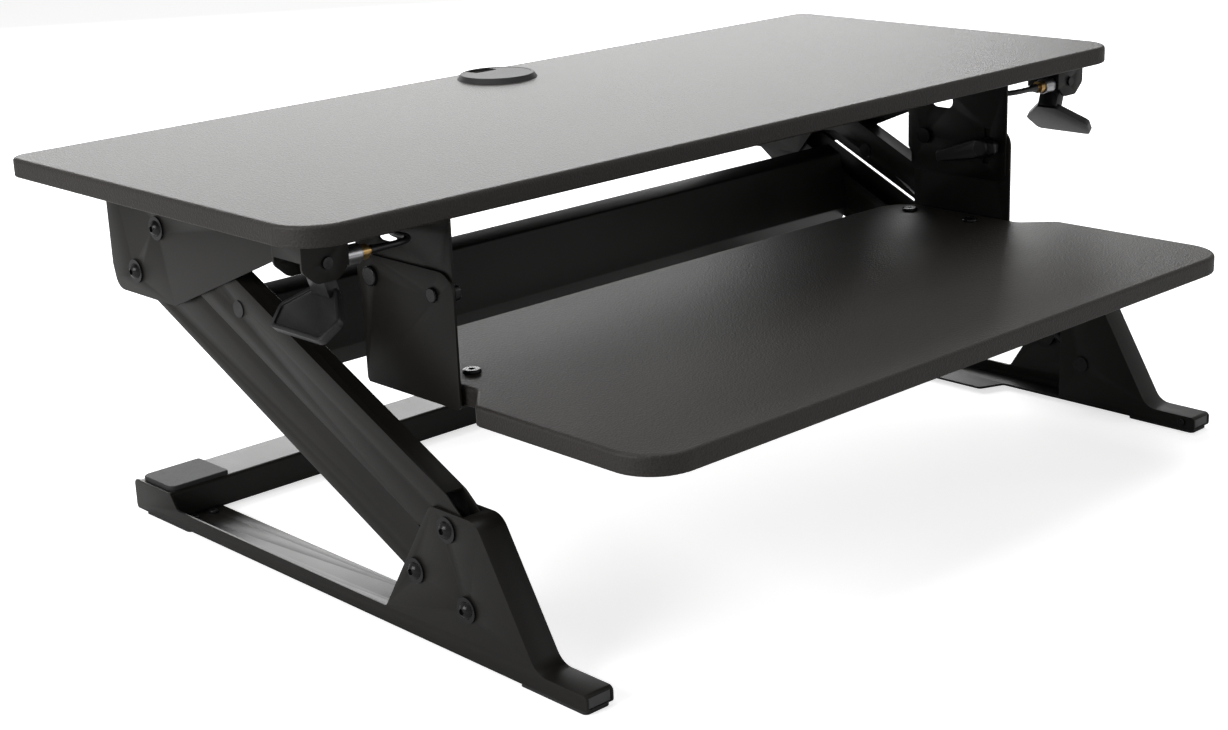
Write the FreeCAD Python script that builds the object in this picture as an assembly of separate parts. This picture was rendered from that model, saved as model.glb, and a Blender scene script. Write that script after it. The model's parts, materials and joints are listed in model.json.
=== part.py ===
"""Sit-stand desk converter: a worktop and keyboard tray carried by two pairs of parallel arms.

Millimetres. +Z is up, the user stands on the -Y side and +X is to the user's right.
The origin is under the middle of the whole object, on the surface that it stands on.
Inside this file depth is measured from the worktop's front edge, and every finished
shape is moved by CENTRE_SHIFT just before it is written.
"""
import FreeCAD, Part
import math
import os

V = FreeCAD.Vector

# ---- worktop and keyboard tray
BOARD_WIDTH = 914.0
BOARD_DEPTH = 391.0
BOARD_THICK = 15.0
BOARD_TOP = 316.5              # height of the worktop's upper face in the pose shown
BOARD_FRONT_RADIUS = 34.0
BOARD_REAR_RADIUS = 16.0
TOP_EDGE_RADIUS = 3.0
BOTTOM_EDGE_RADIUS = 1.5
TRAY_FRONT_HALF = 340.0
TRAY_REAR_HALF = 316.0
TRAY_FRONT = -192.0
TRAY_REAR = 145.0
TRAY_TOP = 174.0
TRAY_THICK = 15.0
TRAY_FRONT_RADIUS = 36.0
TRAY_REAR_RADIUS = 32.0
TRAY_SHOULDER = -18.0          # depth at which the tray starts to narrow
TRAY_SHOULDER_RUN = 26.0

# ---- base
SHEET = 2.0                    # sheet metal of the base and the brackets
BASE_HALF = 375.0              # outer faces of the two sides
CHANNEL_WIDTH = 24.0
BASE_BOTTOM = 2.5              # height of the steel above the surface, set by the pads
BASE_REAR = 398.0
TOE_FRONT = -159.0
TOE_HEIGHT = 12.0
CHEEK_HEIGHT = 105.5
RAIL_HEIGHT = 13.0
RAIL_FLANGE = 48.0
INNER_CHEEK_REAR = -17.0
WEB_REAR = -40.0               # the web over the channel's top ends here
TUBE_DEPTH = 50.0
TUBE_HEIGHT = 26.0
TUBE_WALL = 1.6
TUBE_FRONT = 343.0
REST_PAD_LENGTH = 56.0
REST_PAD_THICK = 3.6
FOOT_PAD_LENGTH = 65.0

# ---- parallelogram arms
ARM_LENGTH = 377.0             # between pivots, the same for all four arms
ARM_ANGLE = 25.1               # degrees above level in the pose shown
LOWER_PIVOT = (15.0, 54.5)     # (depth, height) of the lower arm's pivot on the base
UPPER_OFFSET = (-38.0, 40.5)   # from each lower-arm pivot to its upper-arm pivot
SPRING_PIVOT = (-40.0, 40.5)
ARM_SHEET = 1.5
UPPER_ARM_HALF = 20.5          # half the upper arm's depth
UPPER_ARM_GAP = 1.0            # from the upper arm to the cheeks at either side
NEST_GAP = 0.3                 # between the outer flanges, which pass each other
LOWER_ARM_BELOW = 10.0
LOWER_ARM_ABOVE = 30.5
LOWER_INNER_BELOW = 22.0
LOWER_INNER_ABOVE = 18.0

# ---- gas springs
SPRING_RADIUS = 6.0
SPRING_BORE = 5.3
ROD_RADIUS = 2.0
ROD_LENGTH = 165.0
CYLINDER_END = 200.0
ROD_PIVOT_ALONG = 265.0        # along the upper arm from its lower pivot
SPRING_SIDE_GAP = 0.5          # from the lower arm's inner flange to the cylinder

# ---- fasteners and fits
PIVOT_RADIUS = 5.0
UPPER_PIN_RADIUS = 3.5
SPRING_PIN_RADIUS = 4.0
WASHER_RADIUS = 9.5
WASHER_THICK = 1.5
HEAD_RADIUS = 6.5
HEAD_HEIGHT = 4.0
HEX_RADIUS = 2.6
SCREW_RADIUS = 1.8
RUNNING = 0.05                 # radial clearance of a pin in its hole
OPEN_PIVOT = 0.4               # radial clearance where the arm loop is left open
FACE_GAP = 0.3                 # between flat faces that move past each other
SEAT = 0.05                    # between pieces that are fixed together

# ---- tray hangers and the brackets that carry them
HANGER_OUTER = 322.0
HANGER_FRONT = 21.0
HANGER_REAR = 129.0
HANGER_TOP = 256.0
BRACKET_FRONT = 24.0
BRACKET_REAR = 135.0
BRACKET_BOTTOM = 207.0
TRAY_PIVOT = (115.0, 240.0)
CLAMP_POINT = (44.0, 238.0)
CLAMP_SLOT_HALF = 16.0
STUD_RADIUS = 3.0
TRAY_PIN_RADIUS = 4.0
TRAY_BOLT_X = 292.0
TRAY_BOLT_Y = (43.0, 112.0)

# ---- release levers and cables
HOUSING_OUTER = 440.0
HOUSING_INNER = 402.0
HOUSING_FRONT = 28.0
HOUSING_REAR = 62.0
HOUSING_SHEET = 2.0
LEVER_PIVOT = (420.0, 284.0)   # (distance from the middle, height)
LEVER_PIN_RADIUS = 2.5
PADDLE_FRONT = 10.0
PADDLE_REAR = 78.0
PADDLE_LOW = (440.0, 237.0)     # lower edge, (distance from the middle, height)
PADDLE_HIGH = (410.0, 264.0)    # upper edge
PADDLE_THICK = 5.5
ADJUSTER_Y = 37.0
ADJUSTER_Z = 283.0
CABLE_RADIUS = 2.5
# the left cable's route; the right cable mirrors it
CABLE_ROUTE = [
    (-367.0, 37.0, 283.0), (-350.0, 37.0, 283.0), (-337.0, 47.0, 282.0), (-331.0, 73.0, 279.5),
    (-310.0, 110.0, 276.5), (-294.0, 151.0, 279.0), (-288.0, 197.0, 283.5), (-295.0, 240.0, 282.0),
    (-313.0, 277.0, 276.5), (-332.0, 303.0, 272.5), (-344.0, 330.0, 270.0), (-344.0, 348.0, 270.0),
]

# ---- cable grommet in the worktop
GROMMET_Y = 347.0
GROMMET_HOLE = 30.0
GROMMET_RIM = 36.0
GROMMET_WALL = 2.5
GROMMET_PROUD = 4.5

# ---- worked out from the sizes above
BOARD_UNDER = BOARD_TOP - BOARD_THICK
TRAY_UNDER = TRAY_TOP - TRAY_THICK
CENTRE_SHIFT = V(0, -(TRAY_FRONT + BASE_REAR) / 2, 0)
CHANNEL_INNER = BASE_HALF - CHANNEL_WIDTH
CHEEK_TOP = BASE_BOTTOM + CHEEK_HEIGHT
RAIL_TOP = BASE_BOTTOM + RAIL_HEIGHT
COS = math.cos(math.radians(ARM_ANGLE))
SIN = math.sin(math.radians(ARM_ANGLE))
UPPER_PIVOT = (LOWER_PIVOT[0] + UPPER_OFFSET[0], LOWER_PIVOT[1] + UPPER_OFFSET[1])
LOWER_END = (LOWER_PIVOT[0] + ARM_LENGTH * COS, LOWER_PIVOT[1] + ARM_LENGTH * SIN)
UPPER_END = (UPPER_PIVOT[0] + ARM_LENGTH * COS, UPPER_PIVOT[1] + ARM_LENGTH * SIN)
ROD_PIVOT = (UPPER_PIVOT[0] + ROD_PIVOT_ALONG * COS, UPPER_PIVOT[1] + ROD_PIVOT_ALONG * SIN)
SPRING_LENGTH = math.hypot(ROD_PIVOT[0] - SPRING_PIVOT[0], ROD_PIVOT[1] - SPRING_PIVOT[1])
SPRING_ANGLE = math.degrees(math.atan2(ROD_PIVOT[1] - SPRING_PIVOT[1], ROD_PIVOT[0] - SPRING_PIVOT[0]))
UPPER_OUTER = BASE_HALF - SHEET - UPPER_ARM_GAP
UPPER_INNER = CHANNEL_INNER + SHEET + UPPER_ARM_GAP
LOWER_OUTER = UPPER_OUTER - ARM_SHEET - NEST_GAP
SPRING_X = UPPER_INNER + ARM_SHEET + SPRING_SIDE_GAP + SPRING_RADIUS
BRACKET_OUTER = HANGER_OUTER - SHEET - FACE_GAP
HANGER_BOTTOM = TRAY_UNDER - SHEET


# ---------------------------------------------------------------- helpers
def rounded_wire(corners, place):
    """A closed wire through (a, b, radius) corners, each rounded by its radius."""
    count = len(corners)
    starts, ends, mids = [], [], []
    for i, (a, b, radius) in enumerate(corners):
        here = V(a, b, 0)
        before = V(*corners[i - 1][:2], 0) - here
        after = V(*corners[(i + 1) % count][:2], 0) - here
        half = before.getAngle(after) / 2
        if radius <= 0:
            starts.append(here)
            ends.append(here)
            mids.append(None)
            continue
        reach = radius / math.tan(half)
        before.normalize()
        after.normalize()
        bisector = before + after
        bisector.normalize()
        starts.append(here + before * reach)
        ends.append(here + after * reach)
        mids.append(here + bisector * (radius / math.sin(half) - radius))
    edges = []
    for i in range(count):
        if mids[i] is not None:
            edges.append(Part.Arc(place(starts[i]), place(mids[i]), place(ends[i])).toShape())
        following = starts[(i + 1) % count]
        if ends[i].distanceToPoint(following) > 1e-6:
            edges.append(Part.LineSegment(place(ends[i]), place(following)).toShape())
    return Part.Wire(edges)


def plate_x(corners, x0, x1):
    """A plate with a (depth, height) outline, from x0 to x1."""
    wire = rounded_wire(corners, lambda p: V(x0, p.x, p.y))
    return Part.Face(wire).extrude(V(x1 - x0, 0, 0))


def plate_y(corners, y0, y1):
    """A plate with an (x, height) outline, from y0 to y1."""
    wire = rounded_wire(corners, lambda p: V(p.x, y0, p.y))
    return Part.Face(wire).extrude(V(0, y1 - y0, 0))


def plate_z(corners, z0, z1):
    """A plate with an (x, depth) outline, from z0 to z1."""
    wire = rounded_wire(corners, lambda p: V(p.x, p.y, z0))
    return Part.Face(wire).extrude(V(0, 0, z1 - z0))


def box(x0, x1, y0, y1, z0, z1):
    low = V(min(x0, x1), min(y0, y1), min(z0, z1))
    return Part.makeBox(abs(x1 - x0), abs(y1 - y0), abs(z1 - z0), low)


def rod_x(radius, x0, x1, point):
    """A round bar along X at a (depth, height) point."""
    return Part.makeCylinder(radius, abs(x1 - x0), V(min(x0, x1), point[0], point[1]), V(1, 0, 0))


def mirrored(shape):
    return shape.mirror(V(0, 0, 0), V(1, 0, 0))


def fillet(shape, radius, wanted):
    """Rounds the edges that wanted(edge) picks."""
    edges = [edge for edge in shape.Edges if wanted(edge)]
    return shape.makeFillet(radius, edges)


def at_height(z):
    return lambda edge: abs(edge.BoundBox.ZMin - z) < 1e-4 and abs(edge.BoundBox.ZMax - z) < 1e-4


def placed_arm(shape, pivot, angle):
    """Moves a shape drawn along +Y from the origin to its pivot and tilts it up."""
    moved = shape.copy()
    moved.rotate(V(0, 0, 0), V(1, 0, 0), angle)
    moved.translate(V(0, pivot[0], pivot[1]))
    return moved


def button_bolt(point, head_at, length, shank_radius):
    """A button-head socket screw along X, its head on the -X side of head_at."""
    dome_radius = (HEAD_RADIUS ** 2 + HEAD_HEIGHT ** 2) / (2 * HEAD_HEIGHT)
    ball = Part.makeSphere(dome_radius, V(head_at - HEAD_HEIGHT + dome_radius, point[0], point[1]))
    head = ball.common(rod_x(HEAD_RADIUS, head_at - HEAD_HEIGHT, head_at, point))
    sides = [V(head_at - HEAD_HEIGHT - 1, point[0] + HEX_RADIUS * math.cos(math.radians(60 * i)),
               point[1] + HEX_RADIUS * math.sin(math.radians(60 * i))) for i in range(7)]
    socket = Part.Face(Part.makePolygon(sides)).extrude(V(HEAD_HEIGHT * 0.6 + 1, 0, 0))
    shank = rod_x(shank_radius, head_at - 0.5, head_at + length, point)
    return head.cut(socket).fuse(shank).removeSplitter()


def ring_x(outer, inner, x0, x1, point):
    return rod_x(outer, x0, x1, point).cut(rod_x(inner, min(x0, x1) - 1, max(x0, x1) + 1, point))


def vertical_screw(x, y, head_z, head_radius, head_height, shank_radius, length, up=True):
    """A screw along Z with a low round head; its shank goes up from the head when up is true."""
    sign = 1 if up else -1
    axis = V(0, 0, sign)
    head = Part.makeCylinder(head_radius, head_height, V(x, y, head_z - sign * head_height), axis)
    rim = head_z - sign * head_height
    head = fillet(head, head_height * 0.6, at_height(rim))
    slot = Part.makeCylinder(head_radius * 0.35, head_height * 0.5, V(x, y, rim), axis)
    shank = Part.makeCylinder(shank_radius, length, V(x, y, head_z), axis)
    return head.cut(slot).fuse(shank).removeSplitter()


def write(name, *solids):
    """Writes one node, moved so that the origin is under the object's middle."""
    shape = solids[0] if len(solids) == 1 else Part.makeCompound(list(solids))
    moved = shape.copy()
    moved.translate(CENTRE_SHIFT)
    os.makedirs("parts", exist_ok=True)
    moved.exportStep("parts/" + name + ".step")


def write_pair(name, left):
    write(name + "_left", left)
    write(name + "_right", mirrored(left))


def write_both(name, lefts):
    write(name, *lefts, *[mirrored(solid) for solid in lefts])


# ---------------------------------------------------------------- boards
def worktop():
    half = BOARD_WIDTH / 2
    board = plate_z([(-half, 0, BOARD_FRONT_RADIUS), (half, 0, BOARD_FRONT_RADIUS),
                     (half, BOARD_DEPTH, BOARD_REAR_RADIUS), (-half, BOARD_DEPTH, BOARD_REAR_RADIUS)],
                    BOARD_UNDER, BOARD_TOP)
    board = fillet(board, TOP_EDGE_RADIUS, at_height(BOARD_TOP))
    board = fillet(board, BOTTOM_EDGE_RADIUS, at_height(BOARD_UNDER))
    hole = Part.makeCylinder(GROMMET_HOLE, BOARD_THICK + 2, V(0, GROMMET_Y, BOARD_UNDER - 1))
    return board.cut(hole)


def keyboard_tray():
    wide, narrow = TRAY_FRONT_HALF, TRAY_REAR_HALF
    shoulder_end = TRAY_SHOULDER + TRAY_SHOULDER_RUN
    right = [(wide, TRAY_FRONT, TRAY_FRONT_RADIUS), (wide, TRAY_SHOULDER, 10),
             (narrow, shoulder_end, 10), (narrow, TRAY_REAR, TRAY_REAR_RADIUS)]
    left = [(-x, y, radius) for x, y, radius in reversed(right)]
    tray = plate_z(right + left, TRAY_UNDER, TRAY_TOP)
    tray = fillet(tray, TOP_EDGE_RADIUS, at_height(TRAY_TOP))
    tray = fillet(tray, BOTTOM_EDGE_RADIUS, at_height(TRAY_UNDER))
    for x in (-TRAY_BOLT_X, TRAY_BOLT_X):
        for y in TRAY_BOLT_Y:
            tray = tray.cut(Part.makeCylinder(STUD_RADIUS + SEAT, TRAY_THICK + 2, V(x, y, TRAY_UNDER - 1)))
    return tray


# ---------------------------------------------------------------- base
def side_outline():
    """The outer cheek: toe, sloping front, flat top, sloping back, low rail and raised tail."""
    toe_top = BASE_BOTTOM + TOE_HEIGHT
    rail_start = LOWER_PIVOT[0] + 39.0
    return [(TOE_FRONT, BASE_BOTTOM, 3), (TOE_FRONT, toe_top, 4),
            (SPRING_PIVOT[0] - 70.0, toe_top, 16), (UPPER_PIVOT[0] - 31.5, CHEEK_TOP, 15),
            (UPPER_PIVOT[0] + 18.0, CHEEK_TOP, 9), (rail_start, RAIL_TOP, 5),
            (TUBE_FRONT - 9, RAIL_TOP, 4), (TUBE_FRONT, BASE_BOTTOM + TUBE_HEIGHT, 3),
            (BASE_REAR, BASE_BOTTOM + TUBE_HEIGHT, 5), (BASE_REAR, BASE_BOTTOM, 3)]


def base_side():
    """The left side: a channel at the front whose bottom flange runs back as the rail."""
    outer, inner = -BASE_HALF, -CHANNEL_INNER
    cheek = plate_x(side_outline(), outer, outer + SHEET)
    front = box(outer, inner, TOE_FRONT - 1, INNER_CHEEK_REAR, 0, CHEEK_TOP + 1)
    block = plate_x(side_outline(), outer, inner).common(front)
    face = Part.Face(rounded_wire(side_outline(), lambda p: V(outer + SHEET, p.x, p.y)))
    hollow = face.makeOffset2D(-SHEET).extrude(V(CHANNEL_WIDTH - 2 * SHEET, 0, 0))
    open_back = box(outer + SHEET, inner - SHEET, WEB_REAR, INNER_CHEEK_REAR + 1,
                    BASE_BOTTOM + SHEET, CHEEK_TOP + 1)
    toe_mouth = box(outer + SHEET, inner - SHEET, TOE_FRONT - 1, TOE_FRONT + 6,
                    BASE_BOTTOM + SHEET, BASE_BOTTOM + TOE_HEIGHT - SHEET)
    block = block.cut(hollow).cut(open_back).cut(toe_mouth)
    step = LOWER_PIVOT[0] + 30.0
    wide = -(BASE_HALF - RAIL_FLANGE)
    flange = plate_z([(outer, INNER_CHEEK_REAR - 5, 0), (inner, INNER_CHEEK_REAR - 5, 0), (inner, step, 3),
                      (wide, step + 10, 4), (wide, TUBE_FRONT, 0), (outer, TUBE_FRONT, 0)],
                     BASE_BOTTOM, BASE_BOTTOM + SHEET)
    side = cheek.fuse([block, flange]).removeSplitter()
    for point, radius in ((UPPER_PIVOT, UPPER_PIN_RADIUS), (SPRING_PIVOT, SPRING_PIN_RADIUS)):
        side = side.cut(rod_x(radius + SEAT, outer - 1, inner + 1, point))
    side = side.cut(rod_x(PIVOT_RADIUS + SEAT, outer - 1, outer + SHEET + 1, LOWER_PIVOT))
    for x, y in tube_screw_points():
        side = side.cut(Part.makeCylinder(SCREW_RADIUS + SEAT, SHEET + 2, V(x, y, BASE_BOTTOM - 1)))
    return side.cut(rod_x(2.0, outer + SHEET + 5, inner + 1, toe_screw_point()))


def toe_screw_point():
    return (TOE_FRONT + 13.0, BASE_BOTTOM + TOE_HEIGHT / 2)


def toe_plug():
    """A moulded plug that closes the end of the foot."""
    outer = -BASE_HALF + SHEET + SEAT
    inner = -CHANNEL_INNER - SHEET - SEAT
    low, high = BASE_BOTTOM + SHEET + SEAT, BASE_BOTTOM + TOE_HEIGHT - SHEET - SEAT
    plug = box(outer, inner, TOE_FRONT + 0.6, TOE_FRONT + 26, low, high)
    plug = fillet(plug, 0.8, lambda edge: abs(edge.BoundBox.YMax - TOE_FRONT - 0.6) < 1e-4)
    return plug.cut(rod_x(2.0, inner - 9, inner + 1, toe_screw_point()))


def toe_screw():
    """A small cross screw through the inner cheek into the plug."""
    point = toe_screw_point()
    inner = -CHANNEL_INNER
    head = fillet(rod_x(3.4, inner, inner + 1.8, point), 0.9,
                  lambda edge: abs(edge.BoundBox.XMin - inner - 1.8) < 1e-4)
    return head.fuse(rod_x(1.95, inner - 9, inner, point)).removeSplitter()


def rear_tube():
    """The rectangular tube that ties the two sides together."""
    reach = BASE_HALF - SHEET - SEAT
    bottom, top = BASE_BOTTOM, BASE_BOTTOM + TUBE_HEIGHT
    rear = TUBE_FRONT + TUBE_DEPTH
    shell = plate_x([(TUBE_FRONT, bottom, 3), (rear, bottom, 3), (rear, top, 3), (TUBE_FRONT, top, 3)],
                    -reach, reach)
    wall = TUBE_WALL
    bore = plate_x([(TUBE_FRONT + wall, bottom + wall, 1.6), (rear - wall, bottom + wall, 1.6),
                    (rear - wall, top - wall, 1.6), (TUBE_FRONT + wall, top - wall, 1.6)],
                   -reach - 1, reach + 1)
    return shell.cut(bore)


def rest_pad():
    """A pad on the tube that the lowered platform comes down to."""
    outer = -(BASE_HALF - SHEET - 1)
    top = BASE_BOTTOM + TUBE_HEIGHT
    rear = TUBE_FRONT + TUBE_DEPTH
    pad = plate_z([(outer, TUBE_FRONT + 2, 7), (outer + REST_PAD_LENGTH, TUBE_FRONT + 2, 3),
                   (outer + REST_PAD_LENGTH, rear - 2, 3), (outer, rear - 2, 7)],
                  top + SEAT, top + REST_PAD_THICK)
    return fillet(pad, 1.2, at_height(top + REST_PAD_THICK))


def foot_pad(front):
    """A thin rubber strip under the steel, starting at the given depth."""
    outer, inner = -(BASE_HALF - 0.6), -(CHANNEL_INNER + 0.6)
    rear = front + FOOT_PAD_LENGTH
    pad = plate_z([(outer, front, 4), (inner, front, 4), (inner, rear, 2), (outer, rear, 2)],
                  0, BASE_BOTTOM - SEAT)
    return fillet(pad, 0.6, at_height(0))


def base_bolts():
    """The three pivots of the left side, each a button-head screw on a washer."""
    head_at = -BASE_HALF - WASHER_THICK - SEAT
    through = BASE_HALF - CHANNEL_INNER + WASHER_THICK + SEAT
    upper = button_bolt(UPPER_PIVOT, head_at, through + 1, UPPER_PIN_RADIUS)
    spring = button_bolt(SPRING_PIVOT, head_at, through + 1, SPRING_PIN_RADIUS)
    stub_end = LOWER_OUTER - ARM_SHEET - FACE_GAP
    stub = button_bolt(LOWER_PIVOT, head_at, -stub_end - head_at, PIVOT_RADIUS)
    return [upper, spring, stub]


def washers(points, radii, outer_face):
    return [ring_x(WASHER_RADIUS, radius + SEAT, -outer_face - WASHER_THICK - SEAT / 2, -outer_face - SEAT / 2,
                   point) for point, radius in zip(points, radii)]


def pivot_spacer(point):
    """A ring that keeps the lower arm's outer flange off the cheek."""
    cheek = BASE_HALF - SHEET
    return ring_x(PIVOT_RADIUS + 3.5, PIVOT_RADIUS + RUNNING, -cheek + SEAT, -LOWER_OUTER - FACE_GAP, point)


def tube_screw_points():
    return [(-BASE_HALF + 16, TUBE_FRONT - 9), (-BASE_HALF + 34, TUBE_FRONT - 9)]


def tube_screws():
    """Two screws down through the rear end of the bottom flange."""
    return [vertical_screw(x, y, BASE_BOTTOM + SHEET + SEAT, 4.2, 2.4, SCREW_RADIUS, SHEET, up=False)
            for x, y in tube_screw_points()]


# ---------------------------------------------------------------- arms
def lower_arm():
    """The left lower arm, drawn level from its pivot; its bottom web joins two unequal flanges."""
    end = ARM_LENGTH
    outer = plate_x([(-12, -12, 11.5), (20, -LOWER_ARM_BELOW, 0), (end - 6, -LOWER_ARM_BELOW - 2, 0),
                     (end + 16, -LOWER_ARM_BELOW - 2, 11), (end + 16, LOWER_ARM_ABOVE, 14),
                     (14, LOWER_ARM_ABOVE, 12), (-12, 12, 11.5)],
                    -LOWER_OUTER, -LOWER_OUTER + ARM_SHEET)
    inner = plate_x([(30, -8, 5), (70, -LOWER_INNER_BELOW, 0), (end - 30, -LOWER_INNER_BELOW, 0),
                     (end + 16, -14, 12), (end + 16, LOWER_INNER_ABOVE, 12),
                     (60, LOWER_INNER_ABOVE, 0), (30, 12, 5)],
                    -UPPER_INNER - ARM_SHEET, -UPPER_INNER)
    web = box(-LOWER_OUTER + ARM_SHEET / 2, -UPPER_INNER - ARM_SHEET / 2, 34, end - 18,
              -LOWER_ARM_BELOW, -LOWER_ARM_BELOW + ARM_SHEET)
    arm = outer.fuse([inner, web]).removeSplitter()
    arm = arm.cut(rod_x(PIVOT_RADIUS + RUNNING, -BASE_HALF, -LOWER_OUTER + ARM_SHEET + 1, (0, 0)))
    arm = arm.cut(rod_x(PIVOT_RADIUS + RUNNING, -BASE_HALF, -CHANNEL_INNER, (end, 0)))
    for point in cross_screw_points():
        arm = arm.cut(rod_x(2.5 + SEAT, -UPPER_INNER - ARM_SHEET - 1, -UPPER_INNER + 1, point))
    return placed_arm(arm, LOWER_PIVOT, ARM_ANGLE)


def upper_arm():
    """The left upper arm: a channel open below, with a narrower inner flange."""
    end, half = ARM_LENGTH, UPPER_ARM_HALF
    nose = 14.0
    outer = plate_x([(-nose, -nose, nose - 0.5), (12, -half, 8), (end + half, -half, half - 0.5),
                     (end + half, half, half - 0.5), (12, half, 3), (-nose, nose, nose - 0.5)],
                    -UPPER_OUTER, -UPPER_OUTER + ARM_SHEET)
    inner = plate_x([(-nose, -nose, nose - 0.5), (26, -nose, 6), (46, -3, 6), (end - 70, -3, 6),
                     (end - 40, -half, 6), (end + half, -half, half - 0.5), (end + half, half, half - 0.5),
                     (12, half, 3), (-nose, nose, nose - 0.5)],
                    -UPPER_INNER - ARM_SHEET, -UPPER_INNER)
    web = box(-UPPER_OUTER + ARM_SHEET / 2, -UPPER_INNER - ARM_SHEET / 2, 14, end, half - ARM_SHEET, half)
    arm = outer.fuse([inner, web]).removeSplitter()
    arm = arm.cut(rod_x(UPPER_PIN_RADIUS + RUNNING, -BASE_HALF, -CHANNEL_INNER, (0, 0)))
    arm = arm.cut(rod_x(PIVOT_RADIUS + OPEN_PIVOT, -BASE_HALF, -CHANNEL_INNER, (end, 0)))
    arm = arm.cut(rod_x(SPRING_PIN_RADIUS + SEAT, -BASE_HALF, -CHANNEL_INNER, (ROD_PIVOT_ALONG, 0)))
    return placed_arm(arm, UPPER_PIVOT, ARM_ANGLE)


def rod_pin():
    """The rivet in the upper arm that the gas spring's rod pushes on."""
    head = 0.7
    pin = rod_x(SPRING_PIN_RADIUS, -UPPER_OUTER - head, -UPPER_INNER + head, ROD_PIVOT)
    outer_head = rod_x(SPRING_PIN_RADIUS + 2.5, -UPPER_OUTER - head, -UPPER_OUTER - SEAT, ROD_PIVOT)
    inner_head = rod_x(SPRING_PIN_RADIUS + 2.5, -UPPER_INNER + SEAT, -UPPER_INNER + head, ROD_PIVOT)
    return pin.fuse([outer_head, inner_head]).removeSplitter()


def cross_member():
    """A folded sheet beam between the lower arms, drawn in the arm's own frame."""
    reach = UPPER_INNER - SEAT
    thick = SHEET
    lean_top = (275.0, 33.0)
    bend = (243.5, -11.0)
    foot = (244.5, -31.0)
    lip = (264.0, -31.0)
    beam = plate_x([(lean_top[0] + 16, lean_top[1], 0), (lean_top[0], lean_top[1], 3),
                    (bend[0], bend[1], 3), (foot[0], foot[1], 3), (lip[0], lip[1], 0),
                    (lip[0], lip[1] + thick, 0), (foot[0] + thick, foot[1] + thick, 1),
                    (bend[0] + thick, bend[1] - 0.7, 1), (lean_top[0] + 1.0, lean_top[1] - thick, 1),
                    (lean_top[0] + 16, lean_top[1] - thick, 0)], -reach, reach)
    ends = []
    for side in (-1, 1):
        ends.append(plate_x([(bend[0] + 1, bend[1], 0), (foot[0] + 1, foot[1] + 11, 0), (280, -18, 6),
                             (280, 14, 5), (lean_top[0] - 6, 14, 0)],
                            side * (reach - thick) if side > 0 else -reach,
                            side * reach if side > 0 else -reach + thick))
    beam = beam.fuse(ends).removeSplitter()
    for u, v in cross_screw_points():
        beam = beam.cut(rod_x(2.6, -reach - 1, reach + 1, (u, v)))
    return placed_arm(beam, LOWER_PIVOT, ARM_ANGLE)


def cross_screw_points():
    return [(269.0, -9.0), (269.0, 5.0)]


def cross_screws():
    """Screws that hold the beam's end flanges to the left lower arm's inner flange."""
    screws = []
    seat = -UPPER_INNER + SEAT + SHEET + SEAT
    for point in cross_screw_points():
        head = rod_x(4.5, seat, seat + 2.4, point)
        head = fillet(head, 1.2, lambda edge: abs(edge.BoundBox.XMin - seat - 2.4) < 1e-4)
        screw = head.fuse(rod_x(2.5, -UPPER_INNER - ARM_SHEET, seat, point)).removeSplitter()
        screws.append(placed_arm(screw, LOWER_PIVOT, ARM_ANGLE))
    return screws


# ---------------------------------------------------------------- gas springs
def gas_cylinder():
    """The left spring's body with the eye that turns on the base's third pivot."""
    eye = ring_x(SPRING_RADIUS + 1, SPRING_PIN_RADIUS + RUNNING, -SPRING_X - 5.5, -SPRING_X + 5.5, (0, 0))
    neck = Part.makeCylinder(3.5, 12, V(-SPRING_X, 5.5, 0), V(0, 1, 0))
    body = Part.makeCylinder(SPRING_RADIUS, CYLINDER_END - 16, V(-SPRING_X, 16, 0), V(0, 1, 0))
    body = fillet(body, 2.5, lambda edge: abs(edge.BoundBox.YMax - 16) < 1e-4)
    bore = Part.makeCylinder(SPRING_BORE, CYLINDER_END, V(-SPRING_X, 22, 0), V(0, 1, 0))
    neck = neck.cut(rod_x(SPRING_PIN_RADIUS + RUNNING, -BASE_HALF, -CHANNEL_INNER, (0, 0)))
    spring = eye.fuse([neck, body]).removeSplitter().cut(bore)
    return placed_arm(spring, SPRING_PIVOT, SPRING_ANGLE)


def gas_rod():
    """The polished rod with its eye on the upper arm's pin."""
    eye = ring_x(6.8, SPRING_PIN_RADIUS + RUNNING, -SPRING_X - 5.5, -SPRING_X + 5.5, (SPRING_LENGTH, 0))
    rod = Part.makeCylinder(ROD_RADIUS, ROD_LENGTH - 5, V(-SPRING_X, SPRING_LENGTH - ROD_LENGTH, 0), V(0, 1, 0))
    shape = eye.fuse(rod).removeSplitter()
    return placed_arm(shape, SPRING_PIVOT, SPRING_ANGLE)


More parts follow.
